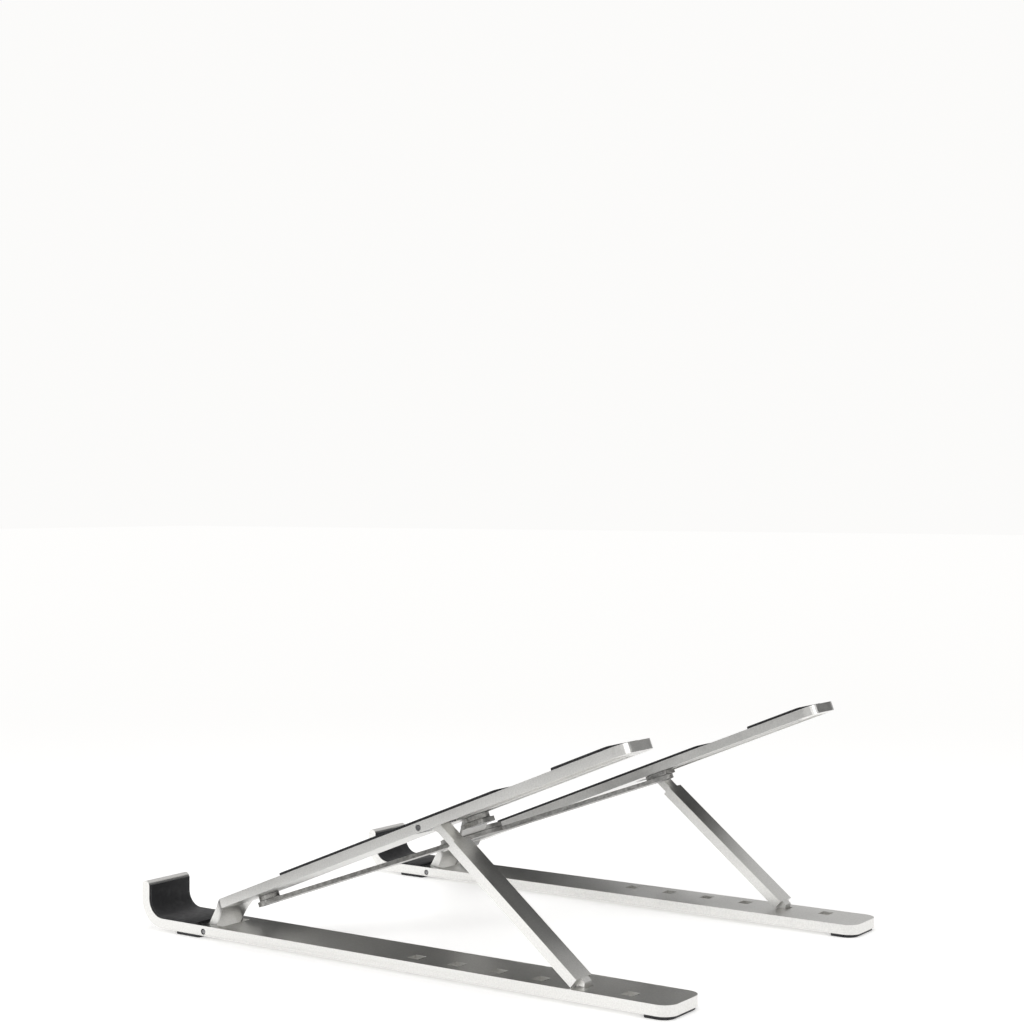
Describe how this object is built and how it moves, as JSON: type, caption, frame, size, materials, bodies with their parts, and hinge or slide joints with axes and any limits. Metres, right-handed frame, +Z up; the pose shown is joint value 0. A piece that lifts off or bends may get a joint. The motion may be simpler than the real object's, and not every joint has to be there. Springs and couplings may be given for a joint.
{
  "type": "laptop stand",
  "caption": "Folding aluminium laptop stand with hooked base rails, tilting upper rails on drop struts with height slots, and a scissor brace.",
  "frame": {"origin": "centre of the footprint, on the table", "axes": "+X to the user's right, -Y to the hooked front edge, +Z up"},
  "size_m": [0.184, 0.2684, 0.0998],
  "materials": {
    "satin_aluminium": "bead-blasted, silver anodised, with bright chamfered edges",
    "brace_aluminium": "satin plate, greyer than the rails",
    "pin_steel": "turned steel",
    "black_silicone": "matt black silicone"
  },
  "bodies": {
    "base_right": {"base_rail_right": "satin_aluminium", "hook_pad_right": "black_silicone", "front_foot_right": "black_silicone", "rear_foot_right": "black_silicone", "front_hinge_pin_right": "pin_steel"},
    "upper_right": {"upper_rail_right": "satin_aluminium", "rail_pad_front_right": "black_silicone", "rail_pad_rear_right": "black_silicone", "strut_hinge_block_right": "pin_steel", "hinge_block_rivet_right": "pin_steel", "strut_pin_right": "pin_steel", "arm_front_rivet_right": "pin_steel", "arm_spacer_right": "brace_aluminium"},
    "strut_right": {"strut_right": "satin_aluminium"},
    "lower_arm": {"lower_arm": "brace_aluminium", "centre_rivet": "pin_steel", "centre_cap": "pin_steel"},
    "upper_arm": {"upper_arm": "brace_aluminium"},
    "slider_right": {"slider_block_right": "brace_aluminium", "slider_rivet_right": "pin_steel"},
    "slider_left": {"slider_block_left": "brace_aluminium", "slider_rivet_left": "pin_steel"},
    "upper_left": {"upper_rail_left": "satin_aluminium", "rail_pad_front_left": "black_silicone", "rail_pad_rear_left": "black_silicone", "strut_hinge_block_left": "pin_steel", "hinge_block_rivet_left": "pin_steel", "strut_pin_left": "pin_steel", "arm_front_rivet_left": "pin_steel"},
    "base_left": {"base_rail_left": "satin_aluminium", "hook_pad_left": "black_silicone", "front_foot_left": "black_silicone", "rear_foot_left": "black_silicone", "front_hinge_pin_left": "pin_steel"},
    "strut_left": {"strut_left": "satin_aluminium"}
  },
  "joints": [
    {"name": "tilt_right", "type": "hinge", "parent": "base_right", "child": "upper_right", "pos_m": [0.0795, -0.0974, 0.0032], "axis": [1, 0, 0], "range_deg": [-20, 0]},
    {"name": "strut_fold_right", "type": "hinge", "parent": "upper_right", "child": "strut_right", "pos_m": [0.085, 0.02579, 0.0616], "axis": [1, 0, 0], "range_deg": [0, 60.9]},
    {"name": "width_fold", "type": "hinge", "parent": "upper_right", "child": "lower_arm", "pos_m": [0.073, -0.07587, 0.01665], "axis": [0, 0.3746, -0.9272], "range_deg": [0, 46.86]},
    {"name": "arm_cross", "type": "hinge", "parent": "lower_arm", "child": "upper_arm", "pos_m": [0, -0.0207, 0.03893], "axis": [0, 0.3746, -0.9272], "range_deg": [-93.72, 0]},
    {"name": "slider_turn_left", "type": "hinge", "parent": "lower_arm", "child": "slider_left", "pos_m": [-0.073, 0.03447, 0.06122], "axis": [0, 0.3746, -0.9272], "range_deg": [-46.86, 0]},
    {"name": "slider_turn_right", "type": "hinge", "parent": "upper_arm", "child": "slider_right", "pos_m": [0.073, 0.03447, 0.06122], "axis": [0, 0.3746, -0.9272], "range_deg": [0, 46.86]},
    {"name": "upper_left_turn", "type": "hinge", "parent": "upper_arm", "child": "upper_left", "pos_m": [-0.073, -0.07587, 0.01665], "axis": [0, 0.3746, -0.9272], "range_deg": [0, 46.86]},
    {"name": "tilt_left", "type": "hinge", "parent": "upper_left", "child": "base_left", "pos_m": [-0.0795, -0.0974, 0.0032], "axis": [1, 0, 0], "range_deg": [0, 20]},
    {"name": "strut_fold_left", "type": "hinge", "parent": "upper_left", "child": "strut_left", "pos_m": [-0.085, 0.02579, 0.0616], "axis": [1, 0, 0], "range_deg": [0, 60.9]}
  ],
  "couplings": [
    {"joint": "strut_fold_right", "follows": "tilt_right", "ratio": -3.045},
    {"joint": "strut_fold_left", "follows": "tilt_right", "ratio": -3.045},
    {"joint": "tilt_left", "follows": "tilt_right", "ratio": -1},
    {"joint": "arm_cross", "follows": "width_fold", "ratio": -2},
    {"joint": "slider_turn_left", "follows": "width_fold", "ratio": -1},
    {"joint": "slider_turn_right", "follows": "width_fold", "ratio": 1},
    {"joint": "upper_left_turn", "follows": "width_fold", "ratio": 1}
  ]
}
